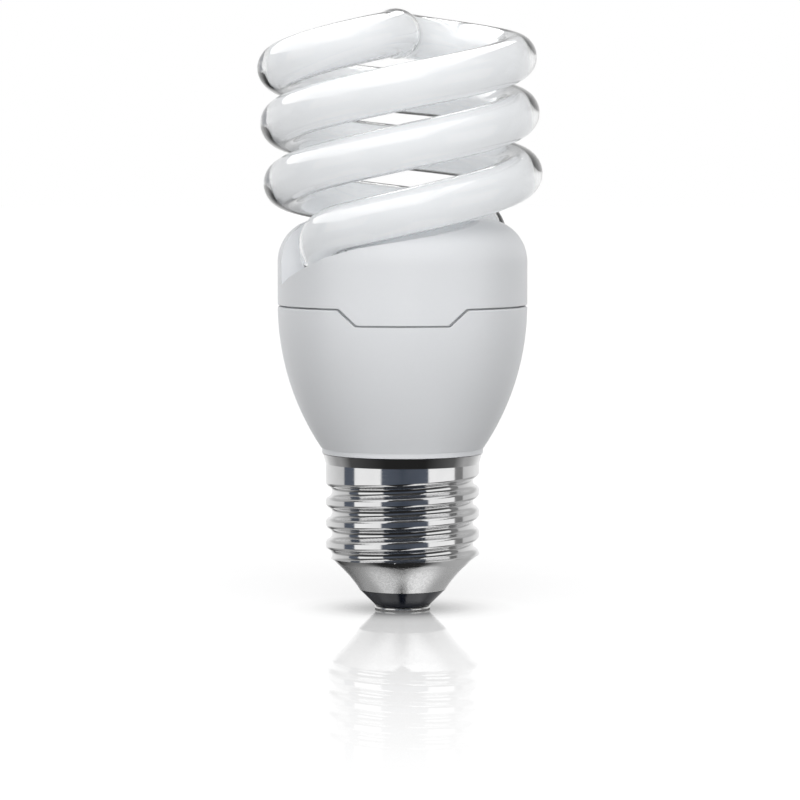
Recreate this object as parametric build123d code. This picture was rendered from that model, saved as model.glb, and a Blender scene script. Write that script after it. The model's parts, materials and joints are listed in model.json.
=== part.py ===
from build123d import *
import math
import os

# A spiral compact fluorescent lamp with an E27 screw cap. Millimetres.
# The origin is the centre of the flat end contact and +Z runs up the lamp axis.
# The front, with the dip in the housing seam, faces -Y. Angles run from +X towards +Y.

# End contact and insulator
contact_radius = 4.8
contact_thickness = 0.6
contact_edge = 0.25
rivet_radius = 1.3
rivet_length = 4.2
insulator_face_radius = 4.7
insulator_depth = 2.2

# Screw shell, rolled from thin sheet. An E27 thread has seven turns to the inch.
shell_sheet = 0.35
crest_radius = 13.15
thread_depth = 1.05
thread_pitch = 25.4 / 7
thread_crest_flat = 0.1
thread_crest_cut = 0.06
thread_right_root_z = 18.4
thread_low_z = 5.6
thread_high_z = 22.6
cone_mouth_radius = 7.4
cone_mouth_z = 3.4
cone_top_z = 9.4
cone_bow_radius = 22.0
band_top_z = 25.1
shell_top_z = 26.8
shell_lip_radius = 13.67

# Plastic housing: a neck inside the shell and a bowl that ends at the seam
neck_wall = 1.25
neck_bottom_z = 15.0
neck_floor = 0.6
wire_slot_height = 3.4
wire_slot_play = 0.2
lip_ring_radius = 13.8
lip_ring_height = 0.9
bowl_foot_radius = 13.95
body_radius = 21.35
housing_wall = 1.3
seam_z = 52.2
seam_gap = 0.3
seam_chamfer = 0.25
tongue_wall = 1.0
tongue_height = 1.0
tongue_root = 4.0
snap_height = 0.3
board_rib_count = 6
board_rib_width = 1.2
board_rib_drop = 7.0

# The dip of the seam at the front, a tab of the cover
dip_depth = 2.75
dip_low_half_width = 7.8
dip_high_half_width = 10.8

# Domed cover with a helical ramp under each end of the tube
cover_wall = 1.25
shoulder_z = 66.5
crown_z = 67.6
shoulder_radius = 7.2
ramp_inner_radius = 15.0
ramp_start_angle = 196.0
ramp_start_z = 55.8
ramp_knee_angle = 232.0
ramp_knee_z = 60.7
ramp_rest_angle = 246.0
ramp_rest_z = 62.25
ramp_end_angle = 350.0
ramp_upper_pitch = 21.5
ramp_bend_fall = 0.25
ramp_upper_fall = 0.05
ramp_overlap = 3.0
ramp_reach = 5.0
socket_bottom_z = 55.2

# Glass tube, a double helix closed by an S at the top
tube_radius = 3.88
coil_radius = 19.93
coil_front_z = 68.4
coil_pitch = 22.1
coil_tightening = 1.6
coil_turns = 1.25
coil_lean = 0.052
lean_pivot_z = 75.5
lean_run = 8.0
bridge_rise = 4.9
swelling_radius = 4.3
swelling_half_length = 4.6
leg_angle = 213.5
leg_radius = 15.2
leg_end_z = 54.4
leg_top_z = 59.5
leg_swing = 8.0
bend_end_angle = 240.0
bend_pull = 14.0
tube_end_fillet = 1.5
points_per_turn = 24
tube_spans = 12

# Circuit board and its leads
board_play = 1.35
board_thickness = 1.6
board_bottom_z = 47.4
lead_radius = 0.3
lead_stub = 0.8
stand_off = 0.5
wrap_pin_radius = 0.5
wrap_pin_height = 3.6
wrap_pin_tail = 1.0
wrap_pin_edge = 1.4
wrap_pin_spread = 24.0
wire_radius = 0.5
tube_wire_radius = 0.2
tube_wire_offset = 1.4
tube_wire_drop = 1.6
tube_wire_bend = 0.6

# Clearances
fit = 0.1
touch = 0.05
hole_clearance = 0.12
cement_gap = 0.45

# Components: sizes across, deep and high
bulk_capacitor_length = 16.0
bulk_capacitor_bottom_z = 18.5
bulk_lead_spacing = 5.0
bulk_rim_fillet = 0.7
bulk_crimp_drop = 2.2
bulk_crimp_radius = 0.5
bulk_crimp_depth = 0.3
neck_wire_gap = 1.0
bulk_capacitor_gap = 1.2
neutral_wire_gap = 1.2
neutral_angle = 59.25
neutral_bend = 1.2
live_bend = 1.5
live_rise = 4.0
fuse_radius = 1.6
fuse_length = 8.0
fuse_bottom_z = 19.5
fuse_tail = 2.0
lead_sink = 1.0
choke_centre = (9.3, 0.0)
choke_size = (5.0, 13.0, 10.4)
choke_leg = 3.8
choke_side = 1.9
choke_yoke = 2.0
bobbin_wall = 0.5
winding_depth = 1.9
ring_centre = (-12.5, 0.0)
ring_outer_radius = 5.0
ring_inner_radius = 2.6
ring_width = 4.0
ring_wire = 0.55
ring_winding_angle = 46.0
transistor_edge = 4.5
transistor_angle = 55.0
transistor_size = (8.0, 2.7, 10.6)
transistor_hole_radius = 1.6
transistor_hole_drop = 7.4
transistor_lead_pitch = 2.3
resonant_centre = (-2.0, -10.0)
resonant_size = (12.0, 5.0, 10.0)
resonant_lead_spacing = 10.0
coupling_centre = (-2.0, 10.0)
coupling_size = (10.0, 4.5, 9.0)
coupling_lead_spacing = 7.5
box_edge = 0.6
diode_radius = 1.3
diode_length = 5.2
diode_lead_spacing = 10.0
diode_lead_bend = 0.9
diode_centre_x = -3.4
diode_rows = (5.8, 2.9, -2.9, -5.8)
coil_drum_centre = (-10.4, 9.4)
drum_radius = 2.75
drum_length = 7.5
drum_flange = 0.8
drum_lead_spacing = 3.2
drum_winding_gap = 0.3
resistor_radius = 1.15
resistor_length = 6.0
resistor_lead_spacing = 2.6
resistor_lead_bend = 0.7
resistor_columns = (-4.6, 0.4)
resistor_edge = 4.25
disc_radius = 2.4
disc_thickness = 2.0
disc_edge = 0.8
disc_lead_spacing = 2.5
snubber_centre = (-11.6, -8.0)
snubber_angle = 35.0
small_edge = 0.3

# Derived heights and radii
root_radius = crest_radius - thread_depth
neck_outer_radius = root_radius - shell_sheet - fit
neck_inner_radius = neck_outer_radius - neck_wall
bowl_foot_z = shell_top_z + fit + lip_ring_height
tongue_outer_radius = body_radius - cover_wall - fit
tongue_inner_radius = tongue_outer_radius - tongue_wall
tongue_top_z = seam_z + tongue_height
board_top_z = board_bottom_z + board_thickness
board_radius = body_radius - housing_wall - board_play
wrap_pin_ring = board_radius - wrap_pin_edge
transistor_ring = board_radius - transistor_edge
resistor_row = board_radius - resistor_edge
live_lane = (fuse_radius + neck_wire_gap - neck_inner_radius, 0.0)
bulk_capacitor_radius = -live_lane[0] - fuse_radius - bulk_capacitor_gap
up = (Align.CENTER, Align.CENTER, Align.MIN)
down = (Align.CENTER, Align.CENTER, Align.MAX)

parts = {}
board_holes = []


def polar(radius, angle, z=0.0):
    """A point at a radius and an angle in degrees."""
    turn = math.radians(angle)
    return Vector(radius * math.cos(turn), radius * math.sin(turn), z)


def turned(profile):
    """The solid of revolution of a profile drawn as radius and height."""
    return revolve(Plane.XZ * profile, Axis.Z)


def tube_between(*points, radius, bend=None):
    """A round wire along straight runs, with bends of one radius."""
    path = FilletPolyline(*points, radius=bend) if bend else Polyline(*points)
    section = Plane(path @ 0, z_dir=path % 0) * Circle(radius)
    return sweep(section, path=path)


# Cap


def centre_contact():
    disc = Cylinder(contact_radius, contact_thickness, align=up)
    disc = fillet(disc.edges().filter_by(GeomType.CIRCLE), contact_edge)
    rivet = Pos(0, 0, contact_thickness / 2) * Cylinder(rivet_radius, rivet_length, align=up)
    return disc + rivet


def insulator():
    """A black cone under the shell, with a plug that fills the shell's mouth."""
    low = contact_thickness + touch
    shoulder = cone_mouth_z - touch
    plug_radius = cone_mouth_radius - shell_sheet - fit
    profile = make_face(Polyline(
        (0, low), (insulator_face_radius, low), (cone_mouth_radius, shoulder),
        (plug_radius, shoulder), (plug_radius, cone_mouth_z + insulator_depth),
        (0, cone_mouth_z + insulator_depth), (0, low)))
    return turned(profile) - Cylinder(rivet_radius + touch, 4 * rivet_length)


def bow_centre(start, end, radius):
    """Centre of the arc that runs from start to end with its hollow side to the left."""
    across = Vector(*end) - Vector(*start)
    middle = (Vector(*start) + Vector(*end)) / 2
    height = math.sqrt(radius ** 2 - (across.length / 2) ** 2)
    return middle + Vector(-across.Y, across.X).normalized() * height


def cap_solid(inset):
    """The cap without its thread, filled, with its surface moved in by the inset."""
    start, end = (cone_mouth_radius, cone_mouth_z), (crest_radius, cone_top_z)
    centre = bow_centre(start, end, cone_bow_radius)
    radius = cone_bow_radius - inset
    low = centre + (Vector(*start) - centre).normalized() * radius
    wall = crest_radius - inset
    high = Vector(wall, centre.Y - math.sqrt(radius ** 2 - (wall - centre.X) ** 2))
    lip = shell_lip_radius - inset
    foot = [(0, cone_mouth_z), start, low] if inset else [(0, cone_mouth_z), start]
    return turned(make_face([
        Polyline(*foot),
        RadiusArc(low, high, radius),
        Polyline(high, (wall, band_top_z), (lip, shell_top_z), (0, shell_top_z),
                 (0, cone_mouth_z))]))


def thread_groove(inset):
    """The helical groove of the thread, as the solid that the rolling takes away."""
    peak = crest_radius + thread_crest_cut
    half_width = (thread_pitch - thread_crest_flat) / 2
    flank = 2 * math.atan2(peak - root_radius, half_width)
    arc = half_width / (2 * math.sin(flank))
    crest_arc, root_arc = arc - inset, arc + inset
    crest_x = peak - arc
    root_x = root_radius + arc
    outside = peak + 0.5

    def on_crest(angle, side):
        return (crest_x + crest_arc * math.cos(angle),
                side * (half_width - crest_arc * math.sin(angle)))

    section = make_face([
        Line((outside, half_width), on_crest(0, 1)),
        ThreePointArc(on_crest(0, 1), on_crest(flank / 2, 1), on_crest(flank, 1)),
        ThreePointArc(on_crest(flank, 1), (root_x - root_arc, 0), on_crest(flank, -1)),
        ThreePointArc(on_crest(flank, -1), on_crest(flank / 2, -1), on_crest(0, -1)),
        Line(on_crest(0, -1), (outside, -half_width)),
        Line((outside, -half_width), (outside, half_width))])
    spare = inset / (2 * math.pi * crest_radius) * thread_pitch
    low, high = thread_low_z - spare, thread_high_z + spare
    start_angle = (low - thread_right_root_z) / thread_pitch * 360
    run = Helix(pitch=thread_pitch, height=high - low, radius=crest_radius)
    cut = sweep(Plane.XZ * section, path=run, is_frenet=True)
    return Pos(0, 0, low) * Rot(0, 0, start_angle) * cut


def screw_shell():
    outside = cap_solid(0) - thread_groove(0)
    inside = cap_solid(shell_sheet) - thread_groove(shell_sheet)
    return outside - inside


# Plastic housing and cover


def bowl_arc(inset, low_z, high_z):
    """The bowl's side, an arc that stands upright at the seam."""
    drop = body_radius - bowl_foot_radius
    rise = seam_z - bowl_foot_z
    arc = (rise ** 2 + drop ** 2) / (2 * drop)
    centre_x = body_radius - arc

    def at(z):
        return centre_x + math.sqrt((arc - inset) ** 2 - (seam_z - z) ** 2), z

    return ThreePointArc(at(low_z), at((low_z + high_z) / 2), at(high_z))


def dip_prism(grow, top):
    """The dip of the seam, drawn on the front and pushed through the wall."""
    slant = (dip_high_half_width - dip_low_half_width) / dip_depth
    low = seam_z - dip_depth - grow
    narrow = dip_low_half_width + grow
    wide = narrow + slant * (top - low)
    outline = make_face(Polyline((-wide, top), (-narrow, low), (narrow, low), (wide, top),
                                 (-wide, top)))
    return extrude(Plane.XZ * outline, 2 * body_radius)


def ballast_housing():
    seam_low = seam_z - seam_gap / 2
    outer = bowl_arc(0, bowl_foot_z, seam_low - seam_chamfer)
    floor_z = bowl_foot_z + neck_floor
    inner = bowl_arc(housing_wall, floor_z, seam_low - tongue_root)
    snap_z = (seam_z + tongue_top_z) / 2
    snap = tongue_outer_radius + snap_height
    profile = make_face([
        Polyline(inner @ 0, (neck_inner_radius, floor_z), (neck_inner_radius, neck_bottom_z),
                 (neck_outer_radius, neck_bottom_z), (neck_outer_radius, shell_top_z + fit),
                 (lip_ring_radius, shell_top_z + fit), (lip_ring_radius, bowl_foot_z), outer @ 0),
        outer,
        Polyline(outer @ 1, (body_radius - seam_chamfer, seam_low), (tongue_outer_radius, seam_low),
                 (tongue_outer_radius, snap_z - snap_height), (snap, snap_z),
                 (tongue_outer_radius, snap_z + snap_height), (tongue_outer_radius, tongue_top_z),
                 (tongue_inner_radius, tongue_top_z),
                 (tongue_inner_radius, seam_low - tongue_root + tongue_wall), inner @ 1),
        inner,
    ])
    body = turned(profile)
    rib = Pos(board_radius, 0, board_bottom_z - touch) * Box(
        2 * tongue_wall, board_rib_width, board_rib_drop, align=down)
    ring = Pos(0, 0, board_bottom_z) * Cylinder(body_radius, board_rib_drop * 2, align=down)
    filled = turned(make_face([
        bowl_arc(housing_wall / 2, floor_z, seam_low - tongue_root),
        Polyline(bowl_arc(housing_wall / 2, floor_z, seam_low - tongue_root) @ 1,
                 (0, seam_low - tongue_root), (0, floor_z),
                 bowl_arc(housing_wall / 2, floor_z, seam_low - tongue_root) @ 0)]))
    for index in range(board_rib_count):
        body += (Rot(0, 0, (index + 0.5) * 360 / board_rib_count) * rib) & ring & filled
    body -= dip_prism(seam_gap / 2, seam_z + 1) - Cylinder(tongue_outer_radius, 4 * seam_z)
    slot = Pos(0, 0, neck_bottom_z) * Box(
        2 * crest_radius, 2 * (wire_radius + wire_slot_play), wire_slot_height,
        align=(Align.MIN, Align.CENTER, Align.MIN))
    return body - Rot(0, 0, neutral_angle) * slot


def dome(inset):
    """The cover's dome without its ramps, filled, moved in by the inset."""
    low = seam_z + seam_gap / 2
    wall = body_radius - inset
    profile = make_face(Polyline(
        (0, low), (wall, low), (wall, shoulder_z - inset), (0, crown_z - inset), (0, low)))
    corner = profile.vertices().sort_by(Axis.X)[-2:].sort_by(Axis.Y)[-1]
    return turned(fillet(corner, shoulder_radius - inset))


def ramp_slabs(inset):
    """What a helical ramp takes out of the dome, in three stretches that rise less and
    less. The first two fall inwards and also clear the bent end of the tube."""
    bend_room = leg_radius - tube_radius - cement_gap
    knee_pitch = (ramp_knee_z - ramp_start_z) / (ramp_knee_angle - ramp_start_angle) * 360
    rest_pitch = (ramp_rest_z - ramp_knee_z) / (ramp_rest_angle - ramp_knee_angle) * 360
    slabs = []
    for pitch, first, last, inner_wall, fall in (
            (knee_pitch, ramp_start_angle, ramp_knee_angle + ramp_overlap,
             bend_room, ramp_bend_fall),
            (rest_pitch, ramp_knee_angle - ramp_overlap, ramp_rest_angle + ramp_overlap,
             bend_room, ramp_bend_fall),
            (ramp_upper_pitch, ramp_rest_angle - ramp_overlap, ramp_end_angle,
             ramp_inner_radius, ramp_upper_fall)):
        level_angle, level_z = ramp_rest_angle, ramp_rest_z
        if pitch == knee_pitch:
            level_angle, level_z = ramp_knee_angle, ramp_knee_z
        inner = inner_wall - inset
        first -= math.degrees(inset / inner_wall)
        height = level_z - inset + (first - level_angle) / 360 * pitch
        outer = body_radius + ramp_reach
        floor = height - fall * (body_radius - inner)
        top = height + 3 * shoulder_radius
        section = make_face(Polyline(
            (inner, floor), (outer, height + fall * ramp_reach), (outer, top), (inner, top),
            (inner, floor)))
        run = Pos(0, 0, height) * Helix(pitch=pitch, height=(last - first) / 360 * pitch,
                                        radius=inner)
        slabs.append(Rot(0, 0, first) * sweep(Plane.XZ * section, path=run, is_frenet=True))
    return slabs


def socket(radius, low):
    """A round hole for a tube end, from a height up."""
    return Pos(polar(leg_radius, leg_angle, low)) * Cylinder(radius, crown_z - low, align=up)


def tube_cover():
    """The dome less its ramps and sockets, hollowed by the same forms moved in by the wall."""
    outside, inside = dome(0), dome(cover_wall)
    hole_radius = tube_radius + cement_gap
    for half_turn in (0, 180):
        for cut in [*ramp_slabs(0), socket(hole_radius, seam_z)]:
            outside -= Rot(0, 0, half_turn) * cut
        for cut in [*ramp_slabs(cover_wall), socket(hole_radius + cover_wall, socket_bottom_z)]:
            inside -= Rot(0, 0, half_turn) * cut
    shell = outside - inside
    low = bowl_arc(0, seam_z - dip_depth - 1, seam_z)
    skirt = turned(make_face([low, Polyline(
        low @ 1, (body_radius, seam_z + 1), (body_radius - cover_wall, seam_z + 1),
        (body_radius - cover_wall, seam_z - dip_depth - 1), low @ 0)]))
    shell += skirt & dip_prism(-seam_gap / 2, seam_z + seam_gap)
    snap_z = (seam_z + tongue_top_z) / 2
    inner_wall = body_radius - cover_wall
    groove = turned(make_face(Polyline(
        (inner_wall - 0.2, snap_z - snap_height - 0.2), (inner_wall + snap_height, snap_z),
        (inner_wall - 0.2, snap_z + snap_height + 0.2),
        (inner_wall - 0.2, snap_z - snap_height - 0.2))))
    return shell - groove


# Glass tube


def lean(point):
    """The coil is set in a little turned to one side, while its ends stay upright."""
    share = min(1.0, max(0.0, (point.Z - leg_top_z) / lean_run))
    share = share * share * (3 - 2 * share)
    return point + Vector(-(point.Z - lean_pivot_z), 0, point.X) * (coil_lean * share)


def coil_point(angle):
    """A point on the first strand's centreline, by its angle."""
    turn = (angle - 270) / 360
    return polar(coil_radius, angle, coil_front_z + coil_pitch * turn - coil_tightening * turn ** 2)


def blend(start, start_pull, end, end_pull, share):
    """A point of the cubic that leaves start along one vector and meets end along another."""
    a, b = share, 1 - share
    return (start * (b * b * (1 + 2 * a)) + start_pull * (a * b * b)
            + end * (a * a * (1 + 2 * b)) - end_pull * (a * a * b))


def strand_points():
    """The first strand's centreline, from its sealed end up to the top of the lamp."""
    leg = polar(leg_radius, leg_angle)
    points = [leg + Vector(0, 0, leg_end_z), leg + Vector(0, 0, (leg_end_z + leg_top_z) / 2)]
    leg_top = leg + Vector(0, 0, leg_top_z)
    bend_end = coil_point(bend_end_angle)
    heading = (coil_point(bend_end_angle + 0.5) - coil_point(bend_end_angle - 0.5)).normalized()
    rise = Vector(0, 0, bend_pull) + polar(leg_swing, leg_angle)
    points += [blend(leg_top, rise, bend_end, heading * bend_pull, share)
               for share in (0, 0.25, 0.5, 0.75)]
    top_angle = 270 + 360 * coil_turns
    steps = round((top_angle - bend_end_angle) / 360 * points_per_turn)
    points += [coil_point(bend_end_angle + (top_angle - bend_end_angle) * step / steps)
               for step in range(steps + 1)]
    top = coil_point(top_angle)
    slope = (coil_point(top_angle + 0.5).Z - coil_point(top_angle - 0.5).Z) / math.radians(1)
    half = coil_radius / 2
    bridge_steps = points_per_turn // 4
    for step in range(1, bridge_steps + 1):
        share = step / bridge_steps
        height = blend(Vector(0, 0, top.Z), Vector(0, 0, slope * math.pi / 2),
                       Vector(0, 0, top.Z + bridge_rise), Vector(0, 0, 0), share).Z
        points.append(polar(half, top_angle + 180 * share, height)
                      + polar(half, top_angle))
    return points


def tube_centreline():
    """The whole tube's centreline, up one strand and down the other."""
    first = strand_points()
    second = [Vector(-p.X, -p.Y, p.Z) for p in first[-2::-1]]
    return Spline([lean(p) for p in first + second], tangents=[(0, 0, 1), (0, 0, -1)]).edge()


def discharge_tube():
    """Two strands as one bent tube, with its swelling at the top and its rounded ends."""
    centreline = tube_centreline()
    spans = [centreline.trim(span / tube_spans, (span + 1) / tube_spans)
             for span in range(tube_spans)]
    pieces = [sweep(Plane(span @ 0, z_dir=span % 0) * Circle(tube_radius), path=span)
              for span in spans]
    tube = pieces[0].fuse(*pieces[1:])
    ends = tube.faces().sort_by(Axis.Z)[:2].edges()
    tube = fillet(ends, tube_end_fillet)
    sink = tube_radius - 0.5
    bulge = make_face([
        ThreePointArc((-swelling_half_length, sink), (0, swelling_radius),
                      (swelling_half_length, sink)),
        Polyline((swelling_half_length, sink), (swelling_half_length, 0),
                 (-swelling_half_length, 0), (-swelling_half_length, sink))])
    place = Plane(centreline @ 0.5, x_dir=centreline % 0.5, z_dir=(0, 0, 1))
    return tube + place * revolve(bulge, Axis.X)


def cement(half_turn):
    """The ring of cement between a tube end and its socket."""
    leg = polar(leg_radius, leg_angle + half_turn, socket_bottom_z + touch)
    height = ramp_start_z - socket_bottom_z + cover_wall
    ring = Cylinder(tube_radius + cement_gap - touch, height, align=up)
    return Pos(leg) * (ring - Cylinder(tube_radius + touch, 3 * height))


# Board, pins and wires


def lead(x, y, low, radius=lead_radius):
    """A straight lead from a height up through its hole in the board."""
    board_holes.append((x, y, radius + hole_clearance))
    return Pos(x, y, low) * Cylinder(radius, board_top_z + lead_stub - low, align=up)


def circuit_board():
    board = Pos(0, 0, board_bottom_z) * Cylinder(board_radius, board_thickness, align=up)
    holes = [Pos(x, y, board_bottom_z) * Cylinder(radius, 4 * board_thickness)
             for x, y, radius in board_holes]
    return board - holes


def wrap_pin_spots():
    """Two pins beside each tube end."""
    return [polar(wrap_pin_ring, leg_angle + half_turn + side * wrap_pin_spread)
            for half_turn in (0, 180) for side in (-1, 1)]


def wrap_pins():
    pins = []
    for spot in wrap_pin_spots():
        low = board_bottom_z - wrap_pin_tail
        board_holes.append((spot.X, spot.Y, wrap_pin_radius + hole_clearance))
        pins.append(Pos(spot.X, spot.Y, low) * Cylinder(
            wrap_pin_radius, board_top_z + wrap_pin_height - low, align=up))
    return Compound(pins)


def tube_lead(index):
    """A bare wire from a sealed tube end to its wrap pin."""
    pin = wrap_pin_spots()[index]
    leg = polar(leg_radius, leg_angle + 180 * (index // 2))
    towards = (pin - leg).normalized()
    start = leg + towards * tube_wire_offset
    finish = pin - towards * (wrap_pin_radius + tube_wire_radius + touch)
    low_z = leg_end_z - tube_wire_drop
    end_z = board_top_z + wrap_pin_tail
    return tube_between(Vector(start.X, start.Y, leg_end_z - touch), Vector(start.X, start.Y, low_z),
                        Vector(finish.X, finish.Y, low_z), Vector(finish.X, finish.Y, end_z),
                        radius=tube_wire_radius, bend=tube_wire_bend)


def live_wire():
    x, y = live_lane
    low = contact_thickness / 2 + rivet_length + touch
    return tube_between((0, 0, low), (0, 0, low + live_rise), (x, y, low + 2 * live_rise),
                        (x, y, fuse_bottom_z - fuse_tail - touch),
                        radius=wire_radius, bend=live_bend)


def neutral_wire():
    """From the board down to the neck, then out through a slot to the shell."""
    low = neck_bottom_z + wire_slot_height / 2
    lane = polar(neck_inner_radius - neutral_wire_gap, neutral_angle, low)
    wall = polar(root_radius - shell_sheet - touch, neutral_angle, low)
    board_holes.append((lane.X, lane.Y, wire_radius + hole_clearance))
    return tube_between((lane.X, lane.Y, board_top_z + lead_stub), lane, wall,
                        radius=wire_radius, bend=neutral_bend)


# Components


def fusible_resistor():
    x, y = live_lane
    body = Pos(x, y, fuse_bottom_z) * Cylinder(fuse_radius, fuse_length, align=up)
    body = fillet(body.edges().filter_by(GeomType.CIRCLE), fuse_radius / 3)
    tail = Pos(x, y, fuse_bottom_z - fuse_tail) * Cylinder(lead_radius, 2 * fuse_tail, align=up)
    return body + tail + lead(x, y, fuse_bottom_z + fuse_length - lead_sink)


def bulk_capacitor():
    body = Pos(0, 0, bulk_capacitor_bottom_z) * Cylinder(
        bulk_capacitor_radius, bulk_capacitor_length, align=up)
    body = fillet(body.edges().filter_by(GeomType.CIRCLE), bulk_rim_fillet)
    top = bulk_capacitor_bottom_z + bulk_capacitor_length
    crimp = Pos(0, 0, top - bulk_crimp_drop) * Torus(
        bulk_capacitor_radius + bulk_crimp_radius - bulk_crimp_depth, bulk_crimp_radius)
    for side in (-1, 1):
        body += lead(side * bulk_lead_spacing / 2, 0, top - lead_sink)
    return body - crimp


def choke_place():
    return Pos(choke_centre[0], choke_centre[1], board_bottom_z - stand_off - choke_size[2] / 2)


def choke_core():
    """Two ferrite E halves, with two windows beside the middle leg."""
    depth, width, height = choke_size
    window = (width - choke_leg - 2 * choke_side) / 2
    core = Box(depth, width, height)
    for side in (-1, 1):
        core -= Pos(0, side * (choke_leg + window) / 2, 0) * Box(
            2 * depth, window, height - 2 * choke_yoke)
    return choke_place() * core


def choke_bobbin():
    """A moulded sleeve with two flanges, and pins up to the board beside the core."""
    depth, width, height = choke_size
    inner_x, inner_y = depth + 2 * fit, choke_leg + 2 * fit
    tall = height - 2 * choke_yoke - 2 * fit
    flange_x = inner_x + 2 * (bobbin_wall + winding_depth)
    flange_y = width - 2 * choke_side - 2 * fit
    body = Box(inner_x + 2 * bobbin_wall, inner_y + 2 * bobbin_wall, tall)
    for side in (-1, 1):
        body += Pos(0, 0, side * (tall - bobbin_wall) / 2) * Box(flange_x, flange_y, bobbin_wall)
    body = choke_place() * (body - Box(inner_x, inner_y, 2 * tall))
    top = board_bottom_z - stand_off - choke_yoke - fit - bobbin_wall / 2
    for side_x in (-1, 1):
        for side_y in (-1, 1):
            body += lead(choke_centre[0] + side_x * (flange_x / 2 - 2 * lead_radius),
                         choke_centre[1] + side_y * flange_y / 4, top)
    return body


def choke_winding():
    depth, width, height = choke_size
    inner_x = depth + 2 * (fit + bobbin_wall + touch)
    inner_y = choke_leg + 2 * (fit + bobbin_wall + touch)
    tall = height - 2 * choke_yoke - 2 * (fit + bobbin_wall + touch)
    spread = 2 * (winding_depth - 4 * touch)
    spread_y = width - 2 * choke_side - 4 * fit - inner_y
    block = Box(inner_x + spread, inner_y + spread_y, tall)
    block = fillet(block.edges().filter_by(Axis.Z), min(spread, spread_y) / 2)
    return choke_place() * (block - Box(inner_x, inner_y, 2 * tall))


def ring_place():
    rise = board_bottom_z - stand_off - ring_outer_radius - ring_wire
    return Pos(ring_centre[0], ring_centre[1], rise) * Rot(0, 90, 0)


def drive_ring_core():
    ring = Cylinder(ring_outer_radius, ring_width) - Cylinder(ring_inner_radius, 2 * ring_width)
    edges = ring.edges().filter_by(GeomType.CIRCLE)
    return ring_place() * chamfer(edges, small_edge)


def drive_ring_winding(index):
    """A close winding round part of the drive ring, with its two ends up to the board."""
    gap = touch
    outer = Pos((ring_outer_radius + ring_inner_radius) / 2, 0) * Rectangle(
        ring_outer_radius - ring_inner_radius + 2 * (gap + ring_wire),
        ring_width + 2 * (gap + ring_wire))
    inner = Pos((ring_outer_radius + ring_inner_radius) / 2, 0) * Rectangle(
        ring_outer_radius - ring_inner_radius + 2 * gap, ring_width + 2 * gap)
    sleeve = revolve(Plane.XZ * (outer - inner), Axis.Z, ring_winding_angle)
    body = ring_place() * Rot(0, 0, 120 * index + 180 - ring_winding_angle / 2) * sleeve
    return body


def transistor(side):
    """A flat package with its mounting hole, standing near the wall."""
    wide, thick, tall = transistor_size
    case = Box(wide, thick, tall, align=down)
    case = chamfer(case.edges().filter_by(Axis.X), small_edge)
    case -= Pos(0, 0, -transistor_hole_drop) * Rot(90, 0, 0) * Cylinder(
        transistor_hole_radius, 2 * thick)
    angle = side * transistor_angle
    spot = polar(transistor_ring, angle, board_bottom_z - stand_off)
    body = Pos(spot) * Rot(0, 0, angle + 90) * case
    for step in (-1, 0, 1):
        foot = spot + polar(transistor_lead_pitch * step, angle + 90)
        body += lead(foot.X, foot.Y, spot.Z - lead_sink)
    return body


def box_capacitor(centre, size, lead_spacing):
    """A boxed film capacitor that stands on two leads."""
    wide, deep, tall = size
    case = Pos(centre[0], centre[1], board_bottom_z - stand_off) * Box(wide, deep, tall, align=down)
    case = fillet(case.edges().filter_by(Axis.Z), box_edge)
    for side in (-1, 1):
        case += lead(centre[0] + side * lead_spacing / 2, centre[1],
                     board_bottom_z - stand_off - lead_sink)
    return case


def axial_part(centre, radius, length, spacing):
    """A round body lying under the board, on one wire bent up at both ends."""
    z = board_bottom_z - stand_off - radius
    x, y = centre
    body = Pos(x, y, z) * Rot(0, 90, 0) * Cylinder(radius, length)
    body = fillet(body.edges().filter_by(GeomType.CIRCLE), small_edge)
    top = board_top_z + lead_stub
    left, right = x - spacing / 2, x + spacing / 2
    for foot in (left, right):
        board_holes.append((foot, y, lead_radius + hole_clearance))
    return body + tube_between((left, y, top), (left, y, z), (right, y, z), (right, y, top),
                               radius=lead_radius, bend=diode_lead_bend)


def upright_part(centre, angle, radius, length, spacing):
    """A round body standing under the board, with its far lead folded back up."""
    x, y = centre
    top = board_bottom_z - stand_off
    body = Pos(x, y, top) * Cylinder(radius, length, align=down)
    body = fillet(body.edges().filter_by(GeomType.CIRCLE), small_edge)
    side = Vector(x, y) + polar(spacing, angle)
    low = top - length - lead_sink
    board_holes.append((side.X, side.Y, lead_radius + hole_clearance))
    hook = tube_between((x, y, top - length + lead_sink), (x, y, low), (side.X, side.Y, low),
                        (side.X, side.Y, board_top_z + lead_stub),
                        radius=lead_radius, bend=resistor_lead_bend)
    return body + hook + lead(x, y, top - lead_sink)


def disc_capacitor(centre, angle):
    """A dipped ceramic disc on two leads."""
    z = board_bottom_z - stand_off - disc_radius
    spot = Vector(centre[0], centre[1], z)
    disc = Rot(0, 0, angle) * Rot(90, 0, 0) * Cylinder(disc_radius, disc_thickness)
    disc = Pos(spot) * fillet(disc.edges().filter_by(GeomType.CIRCLE), disc_edge)
    for side in (-1, 1):
        foot = spot + polar(side * disc_lead_spacing / 2, angle)
        disc += lead(foot.X, foot.Y, z)
    return disc


def filter_drum():
    """A ferrite drum on two leads."""
    x, y = coil_drum_centre
    top = board_bottom_z - stand_off
    drum = Cylinder(drum_radius, drum_length, align=down)
    waist = Pos(0, 0, -drum_flange) * Cylinder(drum_radius, drum_length - 2 * drum_flange, align=down)
    drum = drum - (waist - Cylinder(drum_radius / 2, 4 * drum_length))
    drum = Pos(x, y, top) * drum
    for side in (-1, 1):
        drum += lead(x, y + side * drum_lead_spacing / 2, top - drum_flange / 2)
    return drum


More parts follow.
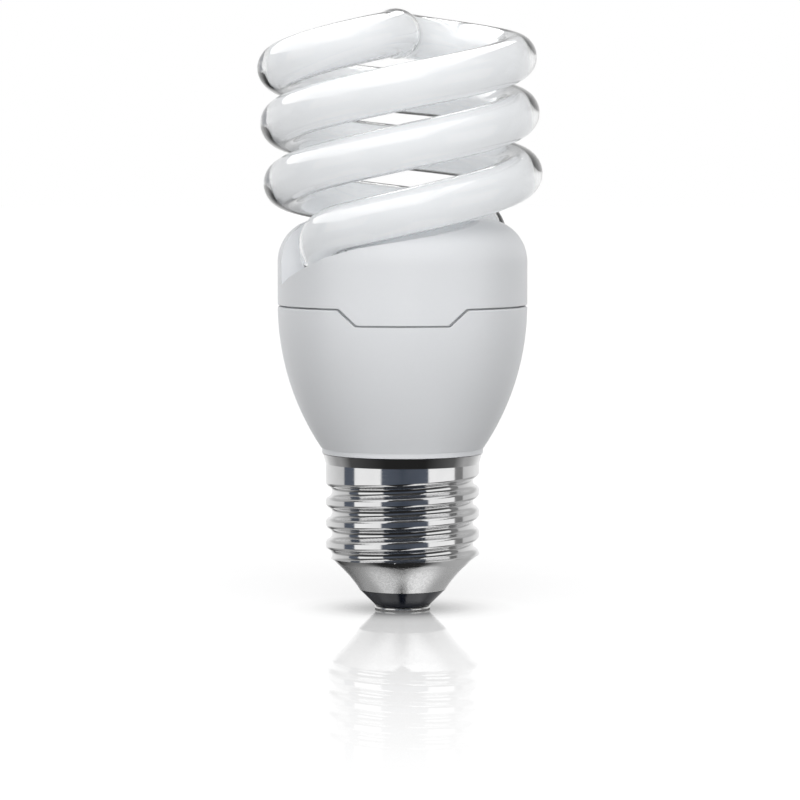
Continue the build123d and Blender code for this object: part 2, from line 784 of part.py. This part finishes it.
def filter_winding():
    x, y = coil_drum_centre
    tall = drum_length - 2 * drum_flange - 2 * touch
    ring = Cylinder(drum_radius - drum_winding_gap, tall, align=down)
    ring -= Cylinder(drum_radius / 2 + touch, 4 * tall)
    return Pos(x, y, board_bottom_z - stand_off - drum_flange - touch) * ring


parts["discharge_tube"] = discharge_tube()
parts["tube_cement_front"] = cement(0)
parts["tube_cement_back"] = cement(180)
parts["tube_cover"] = tube_cover()
parts["ballast_housing"] = ballast_housing()
parts["screw_shell"] = screw_shell()
parts["insulator"] = insulator()
parts["centre_contact"] = centre_contact()
parts["wrap_pins"] = wrap_pins()
for number in range(4):
    parts[f"tube_lead_{number + 1}"] = tube_lead(number)
parts["live_wire"] = live_wire()
parts["neutral_wire"] = neutral_wire()
parts["fusible_resistor"] = fusible_resistor()
parts["bulk_capacitor"] = bulk_capacitor()
parts["choke_core"] = choke_core()
parts["choke_bobbin"] = choke_bobbin()
parts["choke_winding"] = choke_winding()
parts["drive_ring_core"] = drive_ring_core()
for number in range(3):
    parts[f"drive_ring_winding_{number + 1}"] = drive_ring_winding(number)
parts["transistor_high"] = transistor(1)
parts["transistor_low"] = transistor(-1)
for number, row in enumerate(diode_rows):
    parts[f"rectifier_diode_{number + 1}"] = axial_part(
        (diode_centre_x, row), diode_radius, diode_length, diode_lead_spacing)
parts["resonant_capacitor"] = box_capacitor(
    resonant_centre, resonant_size, resonant_lead_spacing)
parts["coupling_capacitor"] = box_capacitor(
    coupling_centre, coupling_size, coupling_lead_spacing)
parts["filter_drum"] = filter_drum()
parts["filter_winding"] = filter_winding()
parts["snubber_capacitor"] = disc_capacitor(snubber_centre, snubber_angle)
resistor_spots = [(x, y) for y in (resistor_row, -resistor_row) for x in resistor_columns]
for number, spot in enumerate(resistor_spots):
    parts[f"resistor_{number + 1}"] = upright_part(
        spot, 0, resistor_radius, resistor_length, resistor_lead_spacing)
parts["circuit_board"] = circuit_board()

os.makedirs("parts", exist_ok=True)
for name, shape in parts.items():
    export_step(shape, f"parts/{name}.step")
    print(name, round(shape.volume, 1))
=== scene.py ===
import json
import math

import bmesh
import bpy
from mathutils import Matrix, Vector


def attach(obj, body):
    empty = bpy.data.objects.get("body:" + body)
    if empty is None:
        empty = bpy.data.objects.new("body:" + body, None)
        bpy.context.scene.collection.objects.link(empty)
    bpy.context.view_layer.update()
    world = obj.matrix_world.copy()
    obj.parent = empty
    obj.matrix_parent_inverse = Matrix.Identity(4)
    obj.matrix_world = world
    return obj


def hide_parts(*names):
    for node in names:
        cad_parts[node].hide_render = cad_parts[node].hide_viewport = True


# The looks of a spiral compact fluorescent lamp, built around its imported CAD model.
# Metres. The origin is the centre of the end contact, +Z runs up the lamp axis and
# the front faces -Y. Azimuths run from the front, positive towards +X.

MM = 0.001

# Glass tube, with the same centreline as the CAD solid that it replaces
TUBE_RADIUS = 3.88 * MM
GLASS_WALL = 0.42 * MM
OUTER_WALL_EXTRA = 0.6 * MM
COATING_GAP = 0.05 * MM
COIL_RADIUS = 19.93 * MM
COIL_FRONT_Z = 68.4 * MM
COIL_PITCH = 22.1 * MM
COIL_TIGHTENING = 1.6 * MM
COIL_TURNS = 1.25
COIL_LEAN = 0.052
LEAN_PIVOT_Z = 75.5 * MM
LEAN_RUN = 8.0 * MM
BRIDGE_RISE = 4.9 * MM
SWELLING_RADIUS = 4.3 * MM
SWELLING_HALF_LENGTH = 4.6 * MM
LEG_ANGLE = 213.5
LEG_RADIUS = 15.2 * MM
LEG_END_Z = 54.4 * MM
LEG_TOP_Z = 59.5 * MM
LEG_SWING = 8.0 * MM
BEND_END_ANGLE = 240.0
BEND_PULL = 14.0 * MM
STEPS_PER_TURN = 120
SIDES = 48

# Coating: the share that scatters light through it, and a faint glow, painted light that the
# unlit coating gives off to make up for the light lost in the glass
COATING_SCATTER = 0.5
COATING_PAINTED_GLOW = 0.16

# The cap's cone is satin from here down
SATIN_START_Z = 8.6 * MM
SATIN_FULL_Z = 7.8 * MM

# Camera: the lamp's axis stands a little right of the picture's centre
SENSOR_WIDTH = 36.0
LENS = 171.1
CAMERA_PLACE = Vector((-0.43, -650.0, 80.0)) * MM
CAMERA_AIM = Vector((-0.43, 0.0, 35.9)) * MM

# Soft lights for matt surfaces: azimuth, elevation and strength
SOFT_LIGHTS = ((3, 4, 4.5), (0, 60, 4.0), (-142, 6, 1.6), (145, 8, 1.3))
SOFT_SHARPNESS = 12.0
SOFT_EVERYWHERE = 0.06

# Rim lights behind the lamp, for all but its tube: azimuth and power in watts
RIM_LIGHTS = ((-142, 6.0), (145, 4.8))
RIM_DISTANCE = 1.0
RIM_HEIGHT = 0.1
RIM_SIZE = 0.4

# Window panels over the lamp, seen only in the glass: from x to x, at one height
PANELS = ((-1.6, 0.06), (0.08, 0.16), (0.18, 0.24))
PANEL_FRONT_Y = -1.0
PANEL_BACK_Y = 0.9
PANEL_HEIGHT = 0.6
PANEL_RADIANCE = 3.6

# Floor: how far its mirror image and its painted contact shadow reach, and where it ends
# for glossy rays, which see the world instead
FLOOR_RADIUS = 4.0
FLOOR_PAINT = 0.5
FLOOR_GLOW = 0.7
MIRROR_REACH = 0.2
CONTACT_SHADOW_REACH = 0.02
GLOSSY_FLOOR_END = 0.0048
GLOSSY_FLOOR_GONE = 0.006


class Graph:
    """A node tree, filled by short calls."""

    def __init__(self, tree):
        self.tree = tree
        tree.nodes.clear()

    def add(self, kind, inputs=None, **settings):
        node = self.tree.nodes.new("ShaderNode" + kind)
        for name, value in settings.items():
            setattr(node, name, value)
        for name, value in (inputs or {}).items():
            self.put(node.inputs[name], value)
        return node

    def put(self, socket, value):
        if isinstance(value, bpy.types.NodeSocket):
            self.tree.links.new(value, socket)
        else:
            socket.default_value = value

    def math(self, operation, *values):
        return self.add("Math", dict(enumerate(values)), operation=operation).outputs[0]

    def remap(self, value, low, high, new_low, new_high):
        return self.add("MapRange", {"Value": value, "From Min": low, "From Max": high,
                                     "To Min": new_low, "To Max": new_high},
                        interpolation_type="SMOOTHSTEP").outputs["Result"]

    def ramp(self, factor, stops):
        """Greys or colours at rising positions, as (position, value) pairs."""
        node = self.add("ValToRGB", {"Fac": factor})
        elements = node.color_ramp.elements
        while len(elements) < len(stops):
            elements.new(0.5)
        for element, (position, value) in zip(elements, stops):
            element.position = position
            element.color = (*value, 1) if isinstance(value, tuple) else (value,) * 3 + (1,)
        return node.outputs["Color"]

    def noise(self, vector, scale, detail=3.0, roughness=0.5):
        return self.add("TexNoise", {"Vector": vector, "Scale": scale, "Detail": detail,
                                     "Roughness": roughness}).outputs["Fac"]

    def mix_shaders(self, factor, first, second):
        return self.add("MixShader", {0: factor, 1: first, 2: second}).outputs[0]


def material(name):
    made = bpy.data.materials.new(name)
    made.use_nodes = True
    graph = Graph(made.node_tree)
    return made, graph


def finish_material(graph, shader):
    graph.put(graph.add("OutputMaterial").inputs["Surface"], shader)


def surface(name, dark, light, roughness, grain_scale, bump_height, metallic=0.0,
            cloud_scale=40.0, stretch=(1, 1, 1), **sockets):
    """A finish with slow clouds of colour, a fine grain and a roughness that follows the grain.
    """
    made, g = material(name)
    place = g.add("TexCoord").outputs["Object"]
    clouds = g.noise(place, cloud_scale, 2.0)
    stretched = g.add("Mapping", {"Vector": place, "Scale": stretch}).outputs[0]
    grain = g.noise(stretched, grain_scale, 4.0, 0.6)
    shade = g.math("ADD", g.math("MULTIPLY", clouds, 0.6), g.math("MULTIPLY", grain, 0.4))
    colour = g.ramp(shade, [(0.35, dark), (0.65, light)])
    rough = g.remap(grain, 0.3, 0.7, roughness[0], roughness[1])
    bump = g.add("Bump", {"Strength": 0.5, "Distance": bump_height, "Height": grain})
    shader = g.add("BsdfPrincipled", {"Base Color": colour, "Roughness": rough,
                                      "Metallic": metallic, "Normal": bump.outputs[0],
                                      **sockets})
    finish_material(g, shader.outputs[0])
    return made


# Tube centreline


def polar(radius, angle, height=0.0):
    turn = math.radians(angle)
    return Vector((radius * math.cos(turn), radius * math.sin(turn), height))


def eased(share):
    share = min(1.0, max(0.0, share))
    return share * share * (3 - 2 * share)


def lean(point):
    """The coil is set in a little turned to one side, while its ends stay upright."""
    share = eased((point.z - LEG_TOP_Z) / LEAN_RUN)
    return point + Vector((LEAN_PIVOT_Z - point.z, 0, point.x)) * (COIL_LEAN * share)


def coil_point(angle):
    turn = (angle - 270) / 360
    return polar(COIL_RADIUS, angle,
                 COIL_FRONT_Z + COIL_PITCH * turn - COIL_TIGHTENING * turn ** 2)


def blend(start, start_pull, end, end_pull, a):
    """A point of the cubic that leaves start along one vector and meets end along another."""
    b = 1 - a
    return (start * (b * b * (1 + 2 * a)) + start_pull * (a * b * b)
            + end * (a * a * (1 + 2 * b)) - end_pull * (a * a * b))


def strand():
    """The first strand's centreline, from its sealed end up to the top of the lamp."""
    leg = polar(LEG_RADIUS, LEG_ANGLE)
    leg_top = leg + Vector((0, 0, LEG_TOP_Z))
    points = [leg + Vector((0, 0, LEG_END_Z))]
    bend_end = coil_point(BEND_END_ANGLE)
    heading = (coil_point(BEND_END_ANGLE + 0.5) - coil_point(BEND_END_ANGLE - 0.5)).normalized()
    rise = Vector((0, 0, BEND_PULL)) + polar(LEG_SWING, LEG_ANGLE)
    bend_steps = STEPS_PER_TURN // 8
    points += [blend(leg_top, rise, bend_end, heading * BEND_PULL, step / bend_steps)
               for step in range(bend_steps)]
    top_angle = 270 + 360 * COIL_TURNS
    sweep = top_angle - BEND_END_ANGLE
    steps = round(sweep / 360 * STEPS_PER_TURN)
    points += [coil_point(BEND_END_ANGLE + sweep * step / steps) for step in range(steps + 1)]
    top = coil_point(top_angle)
    slope = (coil_point(top_angle + 0.5).z - coil_point(top_angle - 0.5).z) / math.radians(1)
    up = Vector((0, 0, 1))
    bridge_steps = STEPS_PER_TURN // 4
    for step in range(1, bridge_steps + 1):
        share = step / bridge_steps
        height = blend(up * top.z, up * slope * math.pi / 2, up * (top.z + BRIDGE_RISE),
                       Vector(), share).z
        points.append(polar(COIL_RADIUS / 2, top_angle + 180 * share, height)
                      + polar(COIL_RADIUS / 2, top_angle))
    return points


def centreline():
    first = strand()
    return [lean(p) for p in first + [Vector((-p.x, -p.y, p.z)) for p in first[-2::-1]]]


def tube_rings(points, inset):
    """Rings of points round the centreline, swelling at its middle. An inner skin has more
    glass over it on the side away from the lamp's axis."""
    middle = points[len(points) // 2]
    rings = []
    for index, point in enumerate(points):
        ahead = (points[min(index + 1, len(points) - 1)] - points[max(index - 1, 0)]).normalized()
        out = Vector((point.x, point.y, 0)).normalized() if index == 0 else out
        out = (out - ahead * out.dot(ahead)).normalized()
        across = ahead.cross(out)
        away = (point - middle).length / SWELLING_HALF_LENGTH
        swelling = (SWELLING_RADIUS - TUBE_RADIUS) * max(0.0, 1 - away * away)
        outward = Vector((point.x, point.y, 0)) / COIL_RADIUS
        extra = OUTER_WALL_EXTRA if inset else 0.0
        ring = []
        for side in range(SIDES):
            turn = 2 * math.pi * side / SIDES
            towards = out * math.cos(turn) + across * math.sin(turn)
            thinner = extra * min(1.0, max(0.0, towards.dot(outward))) ** 2
            ring.append(point + towards * (TUBE_RADIUS + swelling - inset - thinner))
        rings.append(ring)
    return rings


def add_skin(mesh, rings, inward):
    """A closed skin over the rings."""
    loops = [[mesh.verts.new(p) for p in ring] for ring in rings]
    faces = []
    for low, high in zip(loops, loops[1:]):
        for side in range(SIDES):
            after = (side + 1) % SIDES
            faces.append(mesh.faces.new((low[side], low[after], high[after], high[side])))
    faces.append(mesh.faces.new(loops[0][::-1]))
    faces.append(mesh.faces.new(loops[-1]))
    for face in faces:
        face.smooth = len(face.verts) == 4
    if inward:
        bmesh.ops.reverse_faces(mesh, faces=faces)


def tube_piece(name, insets, finish):
    """A tube along the centreline: solid with one inset, a wall with two."""
    mesh = bmesh.new()
    points = centreline()
    for number, inset in enumerate(insets):
        trimmed = points[1:-1] if number else points
        add_skin(mesh, tube_rings(trimmed, inset), inward=number == 1)
    data = bpy.data.meshes.new(name)
    mesh.to_mesh(data)
    mesh.free()
    data.materials.append(finish)
    piece = bpy.data.objects.new(name, data)
    bpy.context.scene.collection.objects.link(piece)
    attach(piece, "root")
    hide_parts("discharge_tube")
    return piece


def glass():
    """Clear glass with faint drawn waves along the tube."""
    made, g = material("clear_glass")
    place = g.add("TexCoord").outputs["Object"]
    waves = g.noise(place, 25.0, 1.0)
    bump = g.add("Bump", {"Strength": 0.1, "Distance": 0.00002, "Height": waves})
    tint = g.ramp(waves, [(0.3, (0.975, 0.985, 0.99)), (0.7, (0.99, 0.995, 1.0))])
    shader = g.add("BsdfPrincipled", {"Base Color": tint, "Roughness": 0.0, "IOR": 1.5,
                                      "Transmission Weight": 1.0, "Normal": bump.outputs[0]})
    path = g.add("LightPath")
    open_to = g.math("MAXIMUM", path.outputs["Is Shadow Ray"], path.outputs["Is Diffuse Ray"])
    clear = g.add("BsdfTransparent").outputs[0]
    finish_material(g, g.mix_shaders(open_to, shader.outputs[0], clear))
    return made


def coating():
    """The pale powder inside the glass, which lets some of the light through the tube."""
    made, g = material("powder_coating")
    place = g.add("TexCoord").outputs["Object"]
    clouds = g.noise(place, 40.0, 2.0)
    grain = g.noise(place, 3000.0, 3.0)
    colour = g.ramp(clouds, [(0.35, (0.955, 0.96, 0.967)), (0.65, (0.97, 0.975, 0.98))])
    rough = g.remap(grain, 0.3, 0.7, 0.25, 0.40)
    bump = g.add("Bump", {"Strength": 0.3, "Distance": 0.000005, "Height": grain})
    skin = g.add("BsdfPrincipled", {"Base Color": colour, "Roughness": rough,
                                    # The emission is painted light: the unlit coating glows
                                    # faintly to brighten its shaded sides
                                    "Emission Color": (0.97, 0.985, 1.0, 1),
                                    "Emission Strength": COATING_PAINTED_GLOW,
                                    "Normal": bump.outputs[0]})
    through = g.add("BsdfTranslucent", {"Color": colour})
    finish_material(g, g.mix_shaders(COATING_SCATTER, skin.outputs[0], through.outputs[0]))
    return made


# Finishes for the CAD nodes


def threaded_metal():
    """Plated rolled sheet: bright on the thread, satin on the cone."""
    made, g = material("plated_shell")
    place = g.add("TexCoord").outputs["Object"]
    height = g.add("SeparateXYZ", {0: place}).outputs["Z"]
    rolled = g.add("Mapping", {"Vector": place, "Scale": (1, 1, 40)}).outputs[0]
    lines = g.noise(rolled, 90.0, 3.0)
    grain = g.noise(place, 2600.0, 3.0)
    clouds = g.noise(place, 180.0, 3.0)
    satin = g.remap(height, SATIN_START_Z, SATIN_FULL_Z, 0.0, 1.0)
    bright = g.remap(lines, 0.3, 0.7, 0.05, 0.11)
    dull = g.remap(grain, 0.3, 0.7, 0.24, 0.34)
    rough = g.add("Mix", {"Factor": satin, "A": bright, "B": dull}).outputs["Result"]
    colour = g.ramp(clouds, [(0.3, (0.74, 0.74, 0.745)), (0.7, (0.82, 0.82, 0.82))])
    relief = g.math("MULTIPLY_ADD", g.math("MULTIPLY", grain, satin), 0.5,
                    g.math("MULTIPLY", lines, 0.03))
    bump = g.add("Bump", {"Strength": 0.35, "Distance": 0.00002, "Height": relief})
    shader = g.add("BsdfPrincipled", {"Base Color": colour, "Roughness": rough,
                                      "Metallic": 1.0, "Normal": bump.outputs[0]})
    finish_material(g, shader.outputs[0])
    return made


def wound_wire(name, dark, light, turns_per_metre):
    """Enamelled wire, laid in fine even turns."""
    made, g = material(name)
    place = g.add("TexCoord").outputs["Object"]
    wave = g.add("TexWave", {"Vector": place, "Scale": turns_per_metre, "Distortion": 0.4},
                 bands_direction="Z").outputs["Fac"]
    # The colour follows the bump's wave, darker in the grooves between turns: painted shade
    colour = g.ramp(wave, [(0.1, dark), (0.8, light)])
    bump = g.add("Bump", {"Strength": 0.8, "Distance": 0.0001, "Height": wave})
    rough = g.remap(wave, 0.0, 1.0, 0.45, 0.25)
    shader = g.add("BsdfPrincipled", {"Base Color": colour, "Metallic": 0.6,
                                      "Roughness": rough, "Normal": bump.outputs[0]})
    finish_material(g, shader.outputs[0])
    return made


FINISHES = {
    "white_plastic": surface("white_plastic", (0.80, 0.815, 0.835), (0.815, 0.83, 0.85),
                             (0.30, 0.38), 2200.0, 0.000012),
    "cap_metal": threaded_metal(),
    "black_insulator": surface("black_glass", (0.004, 0.006, 0.012), (0.012, 0.015, 0.025),
                               (0.05, 0.12), 900.0, 0.00002, cloud_scale=120.0),
    "contact_metal": surface("contact_metal", (0.70, 0.70, 0.69), (0.80, 0.80, 0.79),
                             (0.16, 0.28), 1500.0, 0.00001, metallic=1.0),
    "cement": surface("cement", (0.62, 0.61, 0.58), (0.78, 0.77, 0.74),
                      (0.75, 0.95), 1400.0, 0.0001),
    "tinned_wire": surface("tinned_wire", (0.62, 0.62, 0.61), (0.76, 0.76, 0.75),
                           (0.2, 0.4), 2500.0, 0.00001, metallic=1.0),
    "wire_sleeve": surface("wire_sleeve", (0.55, 0.03, 0.02), (0.66, 0.05, 0.03),
                           (0.35, 0.5), 1800.0, 0.00001),
    "resistor_body": surface("resistor_body", (0.50, 0.37, 0.22), (0.62, 0.48, 0.31),
                             (0.3, 0.45), 1600.0, 0.00001),
    "capacitor_sleeve": surface("capacitor_sleeve", (0.015, 0.02, 0.05), (0.03, 0.035, 0.08),
                                (0.25, 0.4), 1200.0, 0.00001),
    "ferrite": surface("ferrite", (0.03, 0.03, 0.032), (0.07, 0.07, 0.072),
                       (0.5, 0.75), 2400.0, 0.00004),
    "bobbin_plastic": surface("bobbin_plastic", (0.02, 0.02, 0.02), (0.045, 0.045, 0.045),
                              (0.35, 0.5), 1800.0, 0.00002),
    "copper_winding": wound_wire("copper_winding", (0.30, 0.09, 0.03), (0.72, 0.30, 0.12), 900.0),
    "component_black": surface("component_black", (0.015, 0.015, 0.017), (0.04, 0.04, 0.043),
                               (0.5, 0.7), 2600.0, 0.00003),
    "film_capacitor": surface("film_capacitor", (0.28, 0.05, 0.02), (0.40, 0.09, 0.03),
                              (0.25, 0.35), 700.0, 0.00003),
    "disc_ceramic": surface("disc_ceramic", (0.10, 0.22, 0.45), (0.16, 0.30, 0.55),
                            (0.3, 0.4), 900.0, 0.00003),
    "board_laminate": surface("board_laminate", (0.42, 0.33, 0.16), (0.58, 0.47, 0.26),
                              (0.45, 0.6), 600.0, 0.00002, stretch=(1, 4, 1)),
}


def dress_nodes(frame):
    slots = {part["node"]: part["material_slot"] for part in frame["record"]["subparts"]}
    for name, node in frame["nodes"].items():
        if slots[name] in FINISHES:
            node.data.materials.clear()
            node.data.materials.append(FINISHES[slots[name]])


# Studio


def floor():
    """A pale disc with a faint mirror image and a painted shadow round the contact."""
    mesh = bmesh.new()
    bmesh.ops.create_circle(mesh, cap_ends=True, segments=96, radius=FLOOR_RADIUS)
    data = bpy.data.meshes.new("floor")
    mesh.to_mesh(data)
    mesh.free()
    made, g = material("pale_floor")
    place = g.add("TexCoord").outputs["Object"]
    reach = g.add("VectorMath", {0: place}, operation="LENGTH").outputs["Value"]
    path = g.add("LightPath")
    shadow = g.ramp(g.math("DIVIDE", reach, CONTACT_SHADOW_REACH),
                    [(0.2, 0.12), (0.30, 0.22), (0.45, 0.48), (0.62, 0.76), (0.8, 0.93),
                     (1.0, 1.0)])
    dimmed = g.add("VectorMath", {0: shadow, "Scale": FLOOR_PAINT}, operation="SCALE")
    paint = g.add("BsdfDiffuse", {"Color": dimmed.outputs[0]})
    shine = g.add("Emission", {"Color": shadow, "Strength": FLOOR_GLOW})
    lit = g.add("AddShader", {0: paint.outputs[0], 1: shine.outputs[0]}).outputs[0]
    mirror = g.add("BsdfGlossy", {"Color": (1, 1, 1, 1), "Roughness": 0.0})
    share = g.ramp(g.math("DIVIDE", reach, MIRROR_REACH),
                   [(0.0, 0.46), (0.12, 0.44), (0.3, 0.30), (0.6, 0.15), (1.0, 0.0)])
    seen = g.mix_shaders(share, lit, mirror.outputs[0])
    plain = g.add("BsdfDiffuse", {"Color": (0.6, 0.6, 0.6, 1)}).outputs[0]
    near = g.mix_shaders(path.outputs["Is Camera Ray"], plain, seen)
    clear = g.add("BsdfTransparent").outputs[0]
    far = g.remap(reach, GLOSSY_FLOOR_END, GLOSSY_FLOOR_GONE, 0.0, 1.0)
    gone = g.math("MULTIPLY", path.outputs["Is Glossy Ray"], far)
    finish_material(g, g.mix_shaders(gone, near, clear))
    data.materials.append(made)
    piece = bpy.data.objects.new("floor", data)
    bpy.context.scene.collection.objects.link(piece)


def studio():
    """White for the eye, soft light for matt surfaces, bright and dark boxes for glossy ones,
    and dark cards behind the lamp that only rays through the glass see."""
    world = bpy.data.worlds.new("studio")
    bpy.context.scene.world = world
    world.use_nodes = True
    g = Graph(world.node_tree)
    direction = g.add("TexCoord").outputs["Generated"]
    x, y, z = g.add("SeparateXYZ", {0: direction}).outputs
    azimuth = g.math("MULTIPLY_ADD", g.math("ARCTAN2", x, g.math("MULTIPLY", y, -1.0)),
                     0.5 / math.pi, 0.5)
    elevation = g.math("MULTIPLY_ADD", g.math("ARCSINE", z), 1 / math.pi, 0.5)

    def by_azimuth(*stops):
        return g.ramp(azimuth, [((degrees + 180) / 360, value) for degrees, value in stops])

    def by_elevation(*stops):
        return g.ramp(elevation, [((degrees + 90) / 180, value) for degrees, value in stops])

    def mixed(factor, first, second):
        return g.add("Mix", {0: factor, 6: first, 7: second}, data_type="RGBA").outputs[2]

    navy, slate = (0.05, 0.062, 0.085), (0.10, 0.115, 0.145)
    sides = by_azimuth((-180, 0.95), (-140, 0.85), (-99, 0.62), (-97, slate), (-78, slate),
                       (-76, 1.0), (-33, 1.0), (-31, slate), (0, navy), (38, slate),
                       (40, 1.0), (84, 1.0), (86, 0.22), (102, 0.22), (104, 0.60),
                       (140, 0.85), (180, 0.95))
    upper = by_azimuth((-180, 0.60), (-115, 0.45), (-90, 0.10), (-28, 0.03),
                       (38, 0.03), (90, 0.14), (115, 0.50), (180, 0.60))
    overhead = by_azimuth((-180, 0.40), (-100, 0.50), (-76, 1.0), (-36, 1.0), (-30, 0.05),
                          (36, 0.05), (42, 1.0), (84, 1.0), (100, 0.50), (180, 0.40))
    lower = by_azimuth((-180, 0.03), (-165, 0.04), (-135, 0.40), (-110, 0.35), (-90, 0.08),
                       (-28, 0.02), (38, 0.02), (90, 0.12), (110, 0.40), (180, 0.45))
    down = by_azimuth((-180, 0.02), (-152, 0.02), (-140, 0.75), (-38, 0.80), (-26, 0.02),
                      (22, 0.02), (34, 1.0), (142, 1.0), (154, 0.02), (180, 0.02))
    boxes = mixed(by_elevation((-62, 0.0), (-50, 1.0)), down, lower)
    boxes = mixed(by_elevation((-22, 0.0), (-12, 1.0)), boxes, sides)
    boxes = mixed(by_elevation((10, 0.0), (20, 1.0)), boxes, upper)
    boxes = mixed(by_elevation((38, 0.0), (42, 1.0)), boxes, overhead)

    soft = SOFT_EVERYWHERE
    for turn, lift, strength in SOFT_LIGHTS:
        azimuth_out, lift_out = math.radians(turn), math.radians(lift)
        aim = (math.sin(azimuth_out) * math.cos(lift_out),
               -math.cos(azimuth_out) * math.cos(lift_out), math.sin(lift_out))
        towards = g.add("VectorMath", {0: direction, 1: aim},
                        operation="DOT_PRODUCT").outputs["Value"]
        lobe = g.math("POWER", g.math("MAXIMUM", towards, 0.0), SOFT_SHARPNESS)
        soft = g.math("MULTIPLY_ADD", lobe, strength, soft)

    path = g.add("LightPath")
    direct = g.math("SUBTRACT", 1.0, path.outputs["Is Diffuse Ray"])
    straight = g.math("MULTIPLY", direct, g.math(
        "MAXIMUM", path.outputs["Is Camera Ray"], path.outputs["Is Transmission Ray"]))
    glossy = g.math("MULTIPLY", direct, path.outputs["Is Glossy Ray"])
    matt = g.add("CombineColor", {0: soft, 1: soft, 2: soft}).outputs[0]
    colour = mixed(glossy, matt, boxes)
    lines = by_elevation((-90, 0.5), (-40, 0.6), (-34, 0.12), (-12, 0.12), (-9, 0.9),
                         (1, 0.9), (4, 0.12), (24, 0.12), (30, 0.9), (90, 0.7))
    behind = by_azimuth((-180, 1.0), (-171, 1.0), (-163, 0.0), (163, 0.0), (171, 1.0),
                        (180, 1.0))
    through = mixed(behind, (0.95, 0.95, 0.95, 1), lines)
    card = g.math("MULTIPLY", by_azimuth((-180, 0.0), (-169, 0.0), (-166, 1.0), (-150, 1.0),
                                         (-147, 0.0), (180, 0.0)),
                  by_elevation((-90, 0.0), (-24, 0.0), (-20, 1.0), (2, 1.0), (5, 0.0),
                               (90, 0.0)))
    through = mixed(card, through, (0.18, 0.19, 0.21, 1))
    beyond = mixed(path.outputs["Is Transmission Ray"], (1, 1, 1, 1), through)
    colour = mixed(straight, colour, beyond)
    background = g.add("Background", {"Color": colour})
    output = g.add("OutputWorld")
    g.put(output.inputs["Surface"], background.outputs[0])


def only_on(name, pieces):
    """A collection of the pieces that a lamp shines on."""
    receivers = bpy.data.collections.new(name)
    for piece in pieces:
        receivers.objects.link(piece)
    return receivers


def rim_lights(pieces):
    """Two lamps behind the object that brighten its outline."""
    receivers = only_on("rim_lit", pieces)
    for azimuth, power in RIM_LIGHTS:
        data = bpy.data.lights.new("rim_light", "AREA")
        data.size = RIM_SIZE
        data.energy = power
        lamp = bpy.data.objects.new("rim_light", data)
        bpy.context.scene.collection.objects.link(lamp)
        place = polar(RIM_DISTANCE, azimuth - 90, RIM_HEIGHT)
        lamp.location = place
        lamp.rotation_euler = (-place).to_track_quat("-Z", "Y").to_euler()
        lamp.visible_glossy = False
        lamp.light_linking.receiver_collection = receivers


def window(glass_piece):
    """Lamps overhead that light only the glass, for its highlights."""
    only = only_on("glass_only", [glass_piece])
    for number, (left, right) in enumerate(PANELS):
        data = bpy.data.lights.new(f"panel_{number + 1}", "AREA")
        data.shape = "RECTANGLE"
        data.size = right - left
        data.size_y = PANEL_BACK_Y - PANEL_FRONT_Y
        data.energy = PANEL_RADIANCE * math.pi * data.size * data.size_y
        lamp = bpy.data.objects.new(data.name, data)
        bpy.context.scene.collection.objects.link(lamp)
        lamp.location = ((left + right) / 2, (PANEL_FRONT_Y + PANEL_BACK_Y) / 2, PANEL_HEIGHT)
        lamp.visible_transmission = False
        lamp.light_linking.receiver_collection = only


def camera():
    data = bpy.data.cameras.new("camera")
    data.sensor_width = SENSOR_WIDTH
    data.lens = LENS
    eye = bpy.data.objects.new("camera", data)
    bpy.context.scene.collection.objects.link(eye)
    eye.location = CAMERA_PLACE
    eye.rotation_euler = (CAMERA_AIM - CAMERA_PLACE).to_track_quat("-Z", "Y").to_euler()
    bpy.context.scene.camera = eye


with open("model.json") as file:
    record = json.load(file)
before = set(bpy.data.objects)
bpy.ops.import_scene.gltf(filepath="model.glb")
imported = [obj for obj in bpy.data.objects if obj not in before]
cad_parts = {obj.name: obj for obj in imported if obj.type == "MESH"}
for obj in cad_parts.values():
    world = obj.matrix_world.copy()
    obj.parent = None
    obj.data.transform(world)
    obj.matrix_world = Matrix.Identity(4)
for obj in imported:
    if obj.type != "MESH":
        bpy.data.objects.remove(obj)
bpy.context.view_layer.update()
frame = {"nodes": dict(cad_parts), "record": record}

dress_nodes(frame)
glass_tube = tube_piece("glass_tube", (0.0, GLASS_WALL), glass())
tube_piece("coating", (GLASS_WALL + COATING_GAP,), coating())
floor()
studio()
rim_lights([node for name, node in frame["nodes"].items() if name != "discharge_tube"])
window(glass_tube)
camera()
bpy.context.scene.view_settings.view_transform = "Standard"
